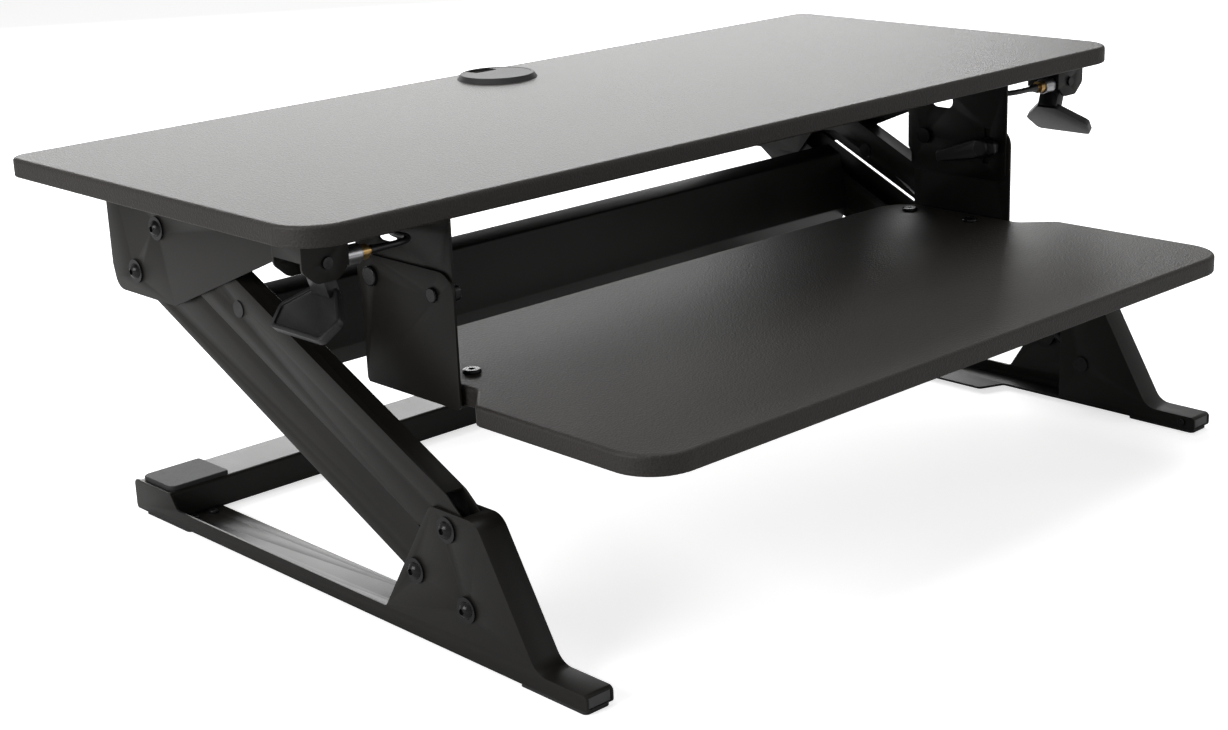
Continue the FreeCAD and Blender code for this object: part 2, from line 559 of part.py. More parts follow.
# ---------------------------------------------------------------- platform steelwork
def top_bracket():
    """Left bracket under the worktop: a web on the board and two cheeks that hold the arms."""
    outer, inner = -BASE_HALF, -CHANNEL_INNER
    bottom = LOWER_END[1] - 19.5
    rear = LOWER_END[0] + 36.5
    cheek = [(62, BOARD_UNDER, 0), (62, BOARD_UNDER - 6, 3), (LOWER_END[0] - 54, bottom, 3),
             (rear - 5, bottom, 12), (rear, bottom + 20, 0), (rear, BOARD_UNDER, 0)]
    front = LOWER_END[0] - 80
    inner_cheek = [(front, BOARD_UNDER, 0), (front, bottom + 32, 8), (LOWER_END[0] - 54, bottom, 6),
                   (rear - 5, bottom, 12), (rear, bottom + 20, 0), (rear, BOARD_UNDER, 0)]
    top = BOARD_UNDER - SEAT
    sheet = plate_x(cheek, outer, outer + SHEET).fuse(plate_x(inner_cheek, inner - SHEET, inner))
    web = plate_z([(outer, 62, 0), (inner, 62, 0), (inner, rear, 0), (outer, rear, 0)], top - SHEET, top)
    lip = plate_z([(inner - 1, front, 0), (inner + 22, front + 8, 5), (inner + 22, rear - 8, 5),
                   (inner - 1, rear, 0)], top - SHEET, top)
    above = box(outer - 1, inner + 30, 0, 500, top, top + 10)
    bracket = sheet.fuse([web, lip]).cut(above).removeSplitter()
    bracket = bracket.cut(box(outer - 1, outer + SHEET + 1, rear - 24, rear - 13, top - 13, top - 10))
    for point in (UPPER_END, LOWER_END):
        bracket = bracket.cut(rod_x(PIVOT_RADIUS + SEAT, outer - 1, inner + 1, point))
    for x, y in bracket_screw_points():
        bracket = bracket.cut(screw_hole(x, y, top))
    return bracket


def top_bolts():
    head_at = -BASE_HALF - WASHER_THICK - SEAT
    through = CHANNEL_WIDTH + WASHER_THICK + SEAT + 1
    return [button_bolt(point, head_at, through, PIVOT_RADIUS) for point in (UPPER_END, LOWER_END)]


def lock_nuts(points, radii):
    """Thin nuts on the inner ends of the pivots."""
    return [ring_x(radius + 3.5, radius + SEAT, -CHANNEL_INNER + SEAT, -CHANNEL_INNER + 1.0, point)
            for point, radius in zip(points, radii)]


def bracket_screw_points():
    """Where the left bracket is screwed to the worktop."""
    x = -CHANNEL_INNER + 13
    return [(x, LOWER_END[0] - 64), (x, LOWER_END[0] - 20), (x, LOWER_END[0] + 18)]


def tray_screw_points():
    """Where the left tray bracket is screwed to the worktop."""
    x = -BRACKET_OUTER + 17
    return [(x, BRACKET_FRONT + 16), (x, BRACKET_REAR - 16)]


def screw_hole(x, y, top):
    return Part.makeCylinder(SCREW_RADIUS + SEAT, SHEET + 2, V(x, y, top - SHEET - 1))


def worktop_screws():
    """Screws that hold the left brackets up to the worktop."""
    seat = BOARD_UNDER - SEAT - SHEET - SEAT
    return [vertical_screw(x, y, seat, 4.5, 2.4, SCREW_RADIUS, SHEET + SEAT, up=True)
            for x, y in bracket_screw_points() + tray_screw_points()]


def tray_bracket():
    """The fixed plate under the worktop that the left hanger turns and clamps against."""
    outer = -BRACKET_OUTER
    top = BOARD_UNDER - SEAT
    plate = plate_x([(BRACKET_FRONT, BRACKET_BOTTOM, 8), (BRACKET_REAR - 4, BRACKET_BOTTOM, 6),
                     (BRACKET_REAR - 4, 222, 0), (BRACKET_REAR, 228, 0), (BRACKET_REAR, top, 0),
                     (BRACKET_FRONT, top, 0)], outer, outer + SHEET)
    flange = plate_z([(outer, BRACKET_FRONT, 0), (outer + 30, BRACKET_FRONT + 6, 5),
                      (outer + 30, BRACKET_REAR - 6, 5), (outer, BRACKET_REAR, 0)], top - SHEET, top)
    bracket = plate.fuse(flange).removeSplitter()
    bracket = bracket.cut(rod_x(TRAY_PIN_RADIUS + RUNNING, outer - 1, outer + SHEET + 1, TRAY_PIVOT))
    slot = clamp_slot(STUD_RADIUS + 0.3)
    cable_hole = plate_x([(84, 268, 6), (108, 268, 6), (108, 284, 6), (84, 284, 6)],
                         outer - 1, outer + SHEET + 1)
    for x, y in tray_screw_points():
        bracket = bracket.cut(screw_hole(x, y, top))
    return bracket.cut(slot).cut(cable_hole)


def clamp_slot(half_width):
    """The curved slot that the clamp stud travels in, as a cutting tool."""
    outer = -BRACKET_OUTER
    radius = math.hypot(CLAMP_POINT[0] - TRAY_PIVOT[0], CLAMP_POINT[1] - TRAY_PIVOT[1])
    band = ring_x(radius + half_width, radius - half_width, outer - 1, outer + SHEET + 1, TRAY_PIVOT)
    window = box(outer - 2, outer + SHEET + 2, CLAMP_POINT[0] - 25, CLAMP_POINT[0] + 25,
                 CLAMP_POINT[1] - CLAMP_SLOT_HALF, CLAMP_POINT[1] + CLAMP_SLOT_HALF)
    return band.common(window)


# ---------------------------------------------------------------- tray steelwork
def hanger():
    """The left plate that carries the keyboard tray, with its flange under the tray."""
    outer = -HANGER_OUTER
    plate = plate_x([(HANGER_FRONT, HANGER_BOTTOM, 4), (HANGER_REAR, HANGER_BOTTOM, 4),
                     (HANGER_REAR, HANGER_TOP - 8, 6), (HANGER_REAR - 12, HANGER_TOP, 6),
                     (HANGER_FRONT, HANGER_TOP, 16)], outer, outer + SHEET)
    flange = plate_z([(outer, HANGER_FRONT + 2, 0), (outer + 46, HANGER_FRONT + 8, 6),
                      (outer + 46, HANGER_REAR - 8, 6), (outer, HANGER_REAR - 2, 0)],
                     HANGER_BOTTOM, HANGER_BOTTOM + SHEET - SEAT)
    shape = plate.fuse(flange).removeSplitter()
    shape = shape.cut(rod_x(TRAY_PIN_RADIUS + SEAT, outer - 1, outer + SHEET + 1, TRAY_PIVOT))
    shape = shape.cut(rod_x(STUD_RADIUS + SEAT, outer - 1, outer + SHEET + 1, CLAMP_POINT))
    for y in TRAY_BOLT_Y:
        shape = shape.cut(Part.makeCylinder(STUD_RADIUS + SEAT, 6, V(-TRAY_BOLT_X, y, HANGER_BOTTOM - 2)))
    return shape


def tray_pivot_bolt():
    """The hanger's pivot: a flat round head outside and a thin retaining head inside."""
    outer = -HANGER_OUTER - SEAT
    head = fillet(rod_x(7.5, outer - 3, outer, TRAY_PIVOT), 1.2,
                  lambda edge: abs(edge.BoundBox.XMax - outer + 3) < 1e-4)
    inside = -BRACKET_OUTER + SHEET + FACE_GAP
    pin = rod_x(TRAY_PIN_RADIUS, outer - 0.5, inside + 2.5, TRAY_PIVOT)
    cap = rod_x(7.0, inside, inside + 2.5, TRAY_PIVOT)
    return head.fuse([pin, cap]).removeSplitter()


def clamp_stud():
    """The threaded stud that the clamp lever draws the hanger up with."""
    outer = -HANGER_OUTER - SEAT
    head = fillet(rod_x(5.5, outer - 2.4, outer, CLAMP_POINT), 1.0,
                  lambda edge: abs(edge.BoundBox.XMax - outer + 2.4) < 1e-4)
    return head.fuse(rod_x(STUD_RADIUS, outer - 0.5, -BRACKET_OUTER + SHEET + 9, CLAMP_POINT)).removeSplitter()


def clamp_lever():
    """A teardrop handle on the inner end of the stud."""
    inside = -BRACKET_OUTER + SHEET + FACE_GAP
    y, z = CLAMP_POINT
    hub = fillet(rod_x(8.0, inside, inside + 12, CLAMP_POINT), 2.0,
                 lambda edge: abs(edge.BoundBox.XMin - inside - 12) < 1e-4)
    blade = plate_x([(y - 15, z - 4, 3.5), (y + 8, z - 11, 5), (y + 50, z - 19, 4),
                     (y + 52, z - 9, 4), (y + 6, z + 8, 6), (y - 15, z + 6, 3.5)], inside + 4, inside + 10)
    blade = fillet(blade, 1.8, lambda edge: abs(edge.BoundBox.XMin - inside - 10) < 1e-4
                   and abs(edge.BoundBox.XMax - inside - 10) < 1e-4)
    lever = hub.fuse(blade).removeSplitter()
    return lever.cut(rod_x(STUD_RADIUS + RUNNING, inside - 1, inside + 9.5, CLAMP_POINT))


def tray_bolts():
    """Round-head bolts down through the left edge of the tray."""
    return [vertical_screw(-TRAY_BOLT_X, y, TRAY_TOP + SEAT, 7.0, 2.6, STUD_RADIUS,
                           TRAY_THICK + SHEET + 2.5, up=False) for y in TRAY_BOLT_Y]


def tray_nuts():
    nuts = []
    for y in TRAY_BOLT_Y:
        ring = Part.makeCylinder(5.5, 2.2, V(-TRAY_BOLT_X, y, HANGER_BOTTOM - 2.2 - SEAT))
        nuts.append(ring.cut(Part.makeCylinder(STUD_RADIUS + SEAT, 6, V(-TRAY_BOLT_X, y, HANGER_BOTTOM - 4))))
    return nuts


# ---------------------------------------------------------------- release levers
def release_housing():
    """The folded bracket under the worktop that the left release lever turns in."""
    outer, inner = -HOUSING_OUTER, -HOUSING_INNER
    top = BOARD_UNDER - SEAT
    px, pz = -LEVER_PIVOT[0], LEVER_PIVOT[1]
    ear = [(outer, top, 0), (outer, pz - 3, 6), (px - 9, pz - 13, 7), (px + 9, pz - 13, 7),
           (inner, pz - 3, 6), (inner, top, 0)]
    front = plate_y(ear, HOUSING_FRONT, HOUSING_FRONT + HOUSING_SHEET)
    rear = plate_y(ear, HOUSING_REAR - HOUSING_SHEET, HOUSING_REAR)
    roof = box(outer, inner, HOUSING_FRONT - 8, HOUSING_REAR, top - HOUSING_SHEET, top)
    skirt = box(outer, outer + HOUSING_SHEET, HOUSING_FRONT, HOUSING_REAR, pz + 3, top)
    wall = box(inner - HOUSING_SHEET, inner, HOUSING_FRONT, HOUSING_REAR, pz - 5, top)
    housing = front.fuse([rear, roof, skirt, wall]).removeSplitter()
    pin = Part.makeCylinder(LEVER_PIN_RADIUS + SEAT, 80, V(px, HOUSING_FRONT - 5, pz), V(0, 1, 0))
    cable = rod_x(2.2, inner - 5, inner + 5, (ADJUSTER_Y, ADJUSTER_Z))
    return housing.cut(pin).cut(cable)


def lever_pin():
    px, pz = -LEVER_PIVOT[0], LEVER_PIVOT[1]
    pin = Part.makeCylinder(LEVER_PIN_RADIUS, HOUSING_REAR - HOUSING_FRONT + 2, V(px, HOUSING_FRONT - 1, pz),
                            V(0, 1, 0))
    head = Part.makeCylinder(4.0, 1.5, V(px, HOUSING_FRONT - 1.5 - SEAT, pz), V(0, 1, 0))
    return pin.fuse(head).removeSplitter()


def release_lever():
    """The left paddle: a hub on the pin, a neck and a dished bow-tie blade that leans outwards."""
    px, pz = -LEVER_PIVOT[0], LEVER_PIVOT[1]
    front, rear = HOUSING_FRONT + HOUSING_SHEET + FACE_GAP, HOUSING_REAR - HOUSING_SHEET - FACE_GAP
    middle = (PADDLE_FRONT + PADDLE_REAR) / 2
    run, rise = PADDLE_LOW[0] - PADDLE_HIGH[0], PADDLE_HIGH[1] - PADDLE_LOW[1]
    height = math.hypot(run, rise)
    lean = math.degrees(math.atan2(run, rise))
    # drawn upright in its own plane: depth, and distance up from the lower edge
    outline = [(PADDLE_FRONT + 5, 0, 6), (PADDLE_REAR - 5, 0, 6), (PADDLE_REAR, height * 0.45, 6),
               (middle + 11, height, 6), (middle - 11, height, 6), (PADDLE_FRONT, height * 0.45, 6)]
    blade = plate_x(outline, 0, PADDLE_THICK)
    dish = Part.Face(rounded_wire(outline, lambda p: V(-1, p.x, p.y))).makeOffset2D(-3).extrude(V(2.6, 0, 0))
    blade = blade.cut(dish)
    blade.rotate(V(0, 0, 0), V(0, 1, 0), lean)
    blade.translate(V(-PADDLE_LOW[0], 0, PADDLE_LOW[1]))
    hub = Part.makeCylinder(6.0, rear - front, V(px, front, pz), V(0, 1, 0))
    neck = plate_y([(-PADDLE_HIGH[0] - 6, PADDLE_HIGH[1] - 6, 0), (-PADDLE_HIGH[0] + 3, PADDLE_HIGH[1] - 3, 2),
                    (px + 6, pz, 0), (px - 6, pz, 0), (px - 1, pz - 10, 4)], middle - 10, middle + 10)
    crank = plate_y([(px - 3, pz, 0), (px - 3, pz + 12, 2.5), (px + 4, pz + 12, 2.5), (px + 4, pz, 0)],
                    middle - 8, middle + 8)
    lever = hub.fuse([neck, crank, blade]).removeSplitter()
    bore = Part.makeCylinder(LEVER_PIN_RADIUS + RUNNING, 80, V(px, front - 5, pz), V(0, 1, 0))
    return lever.cut(bore)


def cable_adjuster():
    """The zinc barrel that sets the cable's slack."""
    start = -HOUSING_INNER + SEAT
    point = (ADJUSTER_Y, ADJUSTER_Z)
    barrel = fillet(rod_x(7.0, start, start + 14, point), 1.2, lambda edge: edge.BoundBox.XLength < 1e-4)
    collar = rod_x(2.1, start - 4, start + 15, point)
    return barrel.fuse(collar).removeSplitter()


def adjuster_nut():
    start = -HOUSING_INNER + SEAT + 14 + SEAT
    point = (ADJUSTER_Y, ADJUSTER_Z)
    nut = rod_x(5.4, start, start + 6, point)
    nut = nut.fuse(rod_x(3.2, start + 5, start + 9, point)).removeSplitter()
    return nut.cut(rod_x(2.1 + SEAT, start - 1, start + 1 + SEAT, point))


def cable_boot():
    """The tapered boot that starts the cable."""
    start = -HOUSING_INNER + SEAT + 14 + SEAT + 9 + SEAT
    end = CABLE_ROUTE[0][0] - SEAT
    return Part.makeCone(3.6, CABLE_RADIUS, end - start, V(start, ADJUSTER_Y, ADJUSTER_Z), V(1, 0, 0))


def tube_along(route, radius):
    """A round tube along straight runs joined by arcs as large as the runs allow."""
    points = [V(*p) for p in route]
    edges, cursor, radii = [], points[0], []
    for i in range(1, len(points) - 1):
        back, ahead = points[i - 1] - points[i], points[i + 1] - points[i]
        turn = math.pi - back.getAngle(ahead)
        reach = 0.45 * min(back.Length, ahead.Length)
        arc_radius = reach / math.tan(turn / 2)
        radii.append(arc_radius)
        back.normalize()
        ahead.normalize()
        bisector = back + ahead
        bisector.normalize()
        start, end = points[i] + back * reach, points[i] + ahead * reach
        middle = points[i] + bisector * (arc_radius / math.cos(turn / 2) - arc_radius)
        edges.append(Part.LineSegment(cursor, start).toShape())
        edges.append(Part.Arc(start, middle, end).toShape())
        cursor = end
    edges.append(Part.LineSegment(cursor, points[-1]).toShape())
    path = Part.Wire(edges)
    first = points[1] - points[0]
    section = Part.Wire(Part.makeCircle(radius, points[0], first))
    tube = path.makePipeShell([section], True, False)
    expected = math.pi * radius ** 2 * path.Length
    print("cable length %.1f, smallest radius %.1f, volume ratio %.4f"
          % (path.Length, min(radii), tube.Volume / expected))
    return tube


def cable_anchor():
    """The block on the bracket's inner cheek that the cable ends in."""
    x, y, z = CABLE_ROUTE[-1]
    block = box(-CHANNEL_INNER + SEAT, x + 5, y + SEAT, y + 16, z - 6, z + 6)
    return fillet(block, 1.5, lambda edge: edge.BoundBox.XLength < 1e-4 and edge.BoundBox.YLength > 10)


def cable_clips():
    """Two saddle clips that hold the left cable up to the worktop."""
    clips = []
    for start in (5, 7):
        x, y, z = [(a + b) / 2 for a, b in zip(CABLE_ROUTE[start], CABLE_ROUTE[start + 1])]
        saddle = box(x - 7, x + 7, y - 4, y + 4, z - CABLE_RADIUS - 2.5, BOARD_UNDER - SEAT)
        # the channel leaves room for the cable's slant inside the clip
        channel = box(x - 4.8, x + 4.8, y - 6, y + 6, z - CABLE_RADIUS - 0.9, z + CABLE_RADIUS + 0.9)
        clips.append(fillet(saddle, 1.2, lambda edge: edge.BoundBox.ZLength > 5).cut(channel))
    return clips


# ---------------------------------------------------------------- grommet
def grommet_ring():
    """The rim that lines the worktop's cable hole."""
    top = BOARD_TOP + GROMMET_PROUD
    wall_outer = GROMMET_HOLE - SEAT
    sleeve = Part.makeCylinder(wall_outer, BOARD_THICK + GROMMET_PROUD - 1, V(0, GROMMET_Y, BOARD_UNDER + 1))
    rim = Part.makeCone(GROMMET_RIM, GROMMET_RIM - 3, GROMMET_PROUD, V(0, GROMMET_Y, BOARD_TOP + SEAT))
    ring = sleeve.fuse(rim.common(box(-50, 50, 250, 450, BOARD_TOP, top)))
    bore = Part.makeCylinder(wall_outer - GROMMET_WALL, 40, V(0, GROMMET_Y, BOARD_UNDER - 5))
    seat = Part.makeCylinder(wall_outer + 0.5, 5, V(0, GROMMET_Y, top - 2.2))
    return ring.cut(bore).cut(seat).removeSplitter()


def grommet_cap():
    """The turning lid with its cable notch at the back."""
    top = BOARD_TOP + GROMMET_PROUD - 0.2
    lid_radius = GROMMET_HOLE - SEAT + 0.5 - RUNNING
    lid = Part.makeCylinder(lid_radius, 1.8, V(0, GROMMET_Y, top - 1.8))
    spigot_outer = GROMMET_HOLE - SEAT - GROMMET_WALL - RUNNING
    spigot = Part.makeCylinder(spigot_outer, 7, V(0, GROMMET_Y, top - 8))
    spigot = spigot.cut(Part.makeCylinder(spigot_outer - 2, 6.2, V(0, GROMMET_Y, top - 9)))
    notch = plate_z([(-13, GROMMET_Y + 14, 4), (13, GROMMET_Y + 14, 4), (13, GROMMET_Y + 45, 0),
                     (-13, GROMMET_Y + 45, 0)], top - 12, top + 2)
    return lid.fuse(spigot).cut(notch).removeSplitter()


# ---------------------------------------------------------------- write every node
write("worktop", worktop())
write("keyboard_tray", keyboard_tray())

write_pair("base_side", base_side())
write("rear_tube", rear_tube())
write_pair("rest_pad", rest_pad())
write_both("front_foot_pads", [foot_pad(TOE_FRONT + 2)])
write_both("rear_foot_pads", [foot_pad(BASE_REAR - 14 - FOOT_PAD_LENGTH)])
write_pair("toe_plug", toe_plug())
write_both("toe_screws", [toe_screw()])
write_both("tube_screws", tube_screws())
BASE_POINTS = [UPPER_PIVOT, SPRING_PIVOT, LOWER_PIVOT]
BASE_RADII = [UPPER_PIN_RADIUS, SPRING_PIN_RADIUS, PIVOT_RADIUS]
write_both("base_pivot_bolts", base_bolts())
write_both("base_pivot_washers", washers(BASE_POINTS, BASE_RADII, BASE_HALF))
write_both("base_pivot_nuts", lock_nuts(BASE_POINTS[:2], BASE_RADII[:2]))
write_both("base_pivot_spacers", [pivot_spacer(LOWER_PIVOT)])

write_pair("lower_arm", lower_arm())
write("cross_member", cross_member())
write_both("cross_member_screws", cross_screws())
write_pair("upper_arm", upper_arm())
write_pair("rod_pin", rod_pin())
write_pair("gas_cylinder", gas_cylinder())
write_pair("gas_rod", gas_rod())

write_pair("top_bracket", top_bracket())
TOP_POINTS = [UPPER_END, LOWER_END]
TOP_RADII = [PIVOT_RADIUS, PIVOT_RADIUS]
write_both("top_pivot_bolts", top_bolts())
write_both("top_pivot_washers", washers(TOP_POINTS, TOP_RADII, BASE_HALF))
write_both("top_pivot_nuts", lock_nuts(TOP_POINTS, TOP_RADII))
write_both("top_pivot_spacers", [pivot_spacer(LOWER_END)])
write_both("worktop_screws", worktop_screws())
write_pair("tray_bracket", tray_bracket())

write_pair("tray_hanger", hanger())
write_both("tray_pivot_bolts", [tray_pivot_bolt()])
write_both("clamp_studs", [clamp_stud()])
write_both("tray_bolts", tray_bolts())
write_both("tray_nuts", tray_nuts())
write_pair("clamp_lever", clamp_lever())

write_pair("release_housing", release_housing())
write_both("lever_pins", [lever_pin()])
write_pair("release_lever", release_lever())
write_both("cable_adjusters", [cable_adjuster()])
write_both("adjuster_nuts", [adjuster_nut()])
write_both("cable_boots", [cable_boot()])
write_pair("release_cable", tube_along(CABLE_ROUTE, CABLE_RADIUS))
write_both("cable_clips", cable_clips())
write_both("cable_anchors", [cable_anchor()])

write("grommet_ring", grommet_ring())
write("grommet_cap", grommet_cap())
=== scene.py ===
import json
import math

import bmesh
import bpy
from mathutils import Matrix, Vector


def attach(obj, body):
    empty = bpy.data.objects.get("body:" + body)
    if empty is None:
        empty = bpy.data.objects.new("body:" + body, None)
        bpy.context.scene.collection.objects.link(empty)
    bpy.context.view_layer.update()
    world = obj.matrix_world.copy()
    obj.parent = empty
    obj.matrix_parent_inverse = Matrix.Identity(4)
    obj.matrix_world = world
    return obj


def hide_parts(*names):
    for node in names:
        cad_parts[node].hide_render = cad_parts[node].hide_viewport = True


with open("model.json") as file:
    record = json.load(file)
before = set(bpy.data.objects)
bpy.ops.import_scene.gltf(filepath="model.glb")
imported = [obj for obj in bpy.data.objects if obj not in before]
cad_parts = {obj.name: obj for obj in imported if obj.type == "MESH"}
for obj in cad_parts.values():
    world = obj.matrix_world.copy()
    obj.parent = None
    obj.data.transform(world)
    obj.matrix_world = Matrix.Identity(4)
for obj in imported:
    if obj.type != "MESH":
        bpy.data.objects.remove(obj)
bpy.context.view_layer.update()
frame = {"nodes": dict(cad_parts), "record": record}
NODES = frame["nodes"]
SLOT_OF = {s["node"]: s["material_slot"] for s in frame["record"]["subparts"]}
BODY_OF = {n: body for body, nodes in frame["record"]["behaviour"]["bodies"].items() for n in nodes}


# ---------------------------------------------------------------- materials
def new_material(name, roughness, specular=0.5, metallic=0.0):
    material = bpy.data.materials.new(name)
    material.use_nodes = True
    shader = material.node_tree.nodes["Principled BSDF"]
    shader.inputs["Roughness"].default_value = roughness
    shader.inputs["Specular IOR Level"].default_value = specular
    shader.inputs["Metallic"].default_value = metallic
    return material, material.node_tree, shader


def coordinates(tree):
    return tree.nodes.new("ShaderNodeTexCoord").outputs["Object"]


def noise(tree, scale, detail=3.0, rough=0.55, stretch=None):
    """Noise in object space; stretch scales the coordinates along each axis first."""
    source = coordinates(tree)
    if stretch:
        mapping = tree.nodes.new("ShaderNodeMapping")
        mapping.inputs["Scale"].default_value = stretch
        tree.links.new(source, mapping.inputs["Vector"])
        source = mapping.outputs["Vector"]
    node = tree.nodes.new("ShaderNodeTexNoise")
    node.inputs["Scale"].default_value = scale
    node.inputs["Detail"].default_value = detail
    node.inputs["Roughness"].default_value = rough
    tree.links.new(source, node.inputs["Vector"])
    return node.outputs["Fac"]


def ramp(tree, value, stops):
    """A colour ramp over a value; stops are (position, (r, g, b))."""
    node = tree.nodes.new("ShaderNodeValToRGB")
    while len(node.color_ramp.elements) < len(stops):
        node.color_ramp.elements.new(0.5)
    for element, (position, colour) in zip(node.color_ramp.elements, stops):
        element.position = position
        element.color = (*colour, 1.0)
    tree.links.new(value, node.inputs["Fac"])
    return node.outputs["Color"]


def remap(tree, value, low, high):
    node = tree.nodes.new("ShaderNodeMapRange")
    node.inputs["To Min"].default_value = low
    node.inputs["To Max"].default_value = high
    tree.links.new(value, node.inputs["Value"])
    return node.outputs["Result"]


def mix(tree, factor, a, b):
    node = tree.nodes.new("ShaderNodeMix")
    node.data_type = "RGBA"
    node.blend_type = "MULTIPLY"
    node.inputs["Factor"].default_value = factor
    tree.links.new(a, node.inputs["A"])
    tree.links.new(b, node.inputs["B"])
    return node.outputs["Result"]


def bump(tree, shader, heights):
    """Stacks bumps; heights are (value, strength, distance in metres)."""
    normal = None
    for value, strength, distance in heights:
        node = tree.nodes.new("ShaderNodeBump")
        node.inputs["Strength"].default_value = strength
        node.inputs["Distance"].default_value = distance
        tree.links.new(value, node.inputs["Height"])
        if normal:
            tree.links.new(normal, node.inputs["Normal"])
        normal = node.outputs["Normal"]
    tree.links.new(normal, shader.inputs["Normal"])


def laminate():
    """Matt charcoal laminate with a fine pebble, a little uneven in tone."""
    material, tree, shader = new_material("laminate_board", 0.5, 0.4)
    cells = tree.nodes.new("ShaderNodeTexVoronoi")
    cells.inputs["Scale"].default_value = 620.0
    tree.links.new(coordinates(tree), cells.inputs["Vector"])
    pebble = cells.outputs["Distance"]
    cloud = noise(tree, 5.0, 5.0)
    speck = noise(tree, 900.0, 2.0)
    tone = ramp(tree, cloud, [(0.3, (0.017, 0.0138, 0.0112)), (0.7, (0.024, 0.0197, 0.0162))])
    fleck = ramp(tree, speck, [(0.36, (0.45, 0.45, 0.45)), (0.62, (1.0, 1.0, 1.0))])
    tree.links.new(mix(tree, 1.0, tone, fleck), shader.inputs["Base Color"])
    tree.links.new(remap(tree, speck, 0.46, 0.66), shader.inputs["Roughness"])
    bump(tree, shader, [(pebble, 0.55, 0.0005), (speck, 0.4, 0.0003)])
    return material


def powder_coat(name, dark, light, roughness=(0.36, 0.5)):
    """Satin powder coat: an orange-peel skin, a trace of dust on it and slightly uneven gloss."""
    material, tree, shader = new_material(name, 0.42, 0.22)
    peel = noise(tree, 900.0, 2.0)
    cloud = noise(tree, 9.0, 5.0)
    tree.links.new(ramp(tree, cloud, [(0.3, dark), (0.72, light)]), shader.inputs["Base Color"])
    tree.links.new(remap(tree, cloud, *roughness), shader.inputs["Roughness"])
    bump(tree, shader, [(peel, 0.22, 0.00025)])
    return material


def moulded(name, dark, light, roughness=(0.4, 0.56), grain=700.0):
    """Moulded plastic or rubber with a fine spark-eroded grain."""
    material, tree, shader = new_material(name, 0.5, 0.45)
    skin = noise(tree, grain, 3.0)
    cloud = noise(tree, 30.0, 4.0)
    tree.links.new(ramp(tree, cloud, [(0.3, dark), (0.7, light)]), shader.inputs["Base Color"])
    tree.links.new(remap(tree, skin, *roughness), shader.inputs["Roughness"])
    bump(tree, shader, [(skin, 0.3, 0.0002)])
    return material


def turned_metal(name, dark, light, roughness=(0.22, 0.42)):
    """Bare or plated metal with fine turning marks and dull patches."""
    material, tree, shader = new_material(name, 0.3, 0.5, 1.0)
    marks = noise(tree, 400.0, 2.0, stretch=(9.0, 1.0, 1.0))
    cloud = noise(tree, 120.0, 4.0)
    tree.links.new(ramp(tree, cloud, [(0.3, dark), (0.7, light)]), shader.inputs["Base Color"])
    tree.links.new(remap(tree, cloud, *roughness), shader.inputs["Roughness"])
    bump(tree, shader, [(marks, 0.12, 0.0001)])
    return material


MATERIALS = {
    "laminate_board": laminate(),
    "black_steel": powder_coat("black_steel", (0.0075, 0.0068, 0.0060), (0.0120, 0.0108, 0.0094)),
    "black_fasteners": powder_coat("black_fasteners", (0.007, 0.007, 0.007), (0.013, 0.013, 0.013), (0.16, 0.28)),
    "bright_steel": turned_metal("bright_steel", (0.36, 0.36, 0.37), (0.52, 0.52, 0.54)),
    "spring_enamel": powder_coat("spring_enamel", (0.010, 0.010, 0.011), (0.016, 0.016, 0.017), (0.2, 0.3)),
    "brass": turned_metal("brass", (0.42, 0.26, 0.10), (0.62, 0.42, 0.18)),
    "rubber": moulded("rubber", (0.012, 0.012, 0.012), (0.020, 0.020, 0.020), (0.6, 0.8)),
    "grey_plastic": moulded("grey_plastic", (0.045, 0.045, 0.048), (0.062, 0.062, 0.066)),
    "black_plastic": moulded("black_plastic", (0.006, 0.006, 0.007), (0.010, 0.010, 0.011), (0.3, 0.46)),
    "matt_plastic": moulded("matt_plastic", (0.008, 0.008, 0.008), (0.013, 0.013, 0.013), (0.58, 0.72)),
    "blackened_steel": turned_metal("blackened_steel", (0.030, 0.030, 0.031), (0.055, 0.055, 0.056), (0.3, 0.45)),
    "cable_sheath": moulded("cable_sheath", (0.008, 0.008, 0.009), (0.013, 0.013, 0.014), (0.3, 0.42), 300.0),
}


def dress(obj, slot):
    obj.data.materials.clear()
    obj.data.materials.append(MATERIALS[slot])


FINISH_OF = {"rod_pin_left": "blackened_steel", "rod_pin_right": "blackened_steel", "lever_pins": "blackened_steel",
             "grommet_ring": "matt_plastic", "grommet_cap": "matt_plastic"}
for node_name, node in NODES.items():
    dress(node, FINISH_OF.get(node_name, SLOT_OF[node_name]))


# ---------------------------------------------------------------- softened copies of the hard-edged parts
def softened(node_name, width, segments=2, angle=32.0):
    """A copy of a CAD part with small rounds on its sharp edges, which then stands for it."""
    mesh = NODES[node_name].data.copy()
    bm = bmesh.new()
    bm.from_mesh(mesh)
    bmesh.ops.remove_doubles(bm, verts=bm.verts, dist=1e-6)
    bmesh.ops.dissolve_limit(bm, angle_limit=math.radians(0.4), verts=bm.verts, edges=bm.edges)
    bm.to_mesh(mesh)
    bm.free()
    piece = bpy.data.objects.new(node_name + "_skin", mesh)
    bpy.context.scene.collection.objects.link(piece)
    modifier = piece.modifiers.new("rounds", "BEVEL")
    modifier.width = width
    modifier.segments = segments
    modifier.limit_method = "ANGLE"
    modifier.angle_limit = math.radians(angle)
    modifier.harden_normals = False
    bpy.context.view_layer.update()
    evaluated = piece.evaluated_get(bpy.context.evaluated_depsgraph_get())
    rounded = bpy.data.meshes.new_from_object(evaluated)
    piece.modifiers.clear()
    piece.data = rounded
    smooth(piece)
    dress(piece, SLOT_OF[node_name])
    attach(piece, BODY_OF[node_name])
    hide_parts(node_name)
    return piece


def smooth(obj, angle=35.0):
    for polygon in obj.data.polygons:
        polygon.use_smooth = True
    obj.data.set_sharp_from_angle(angle=math.radians(angle))


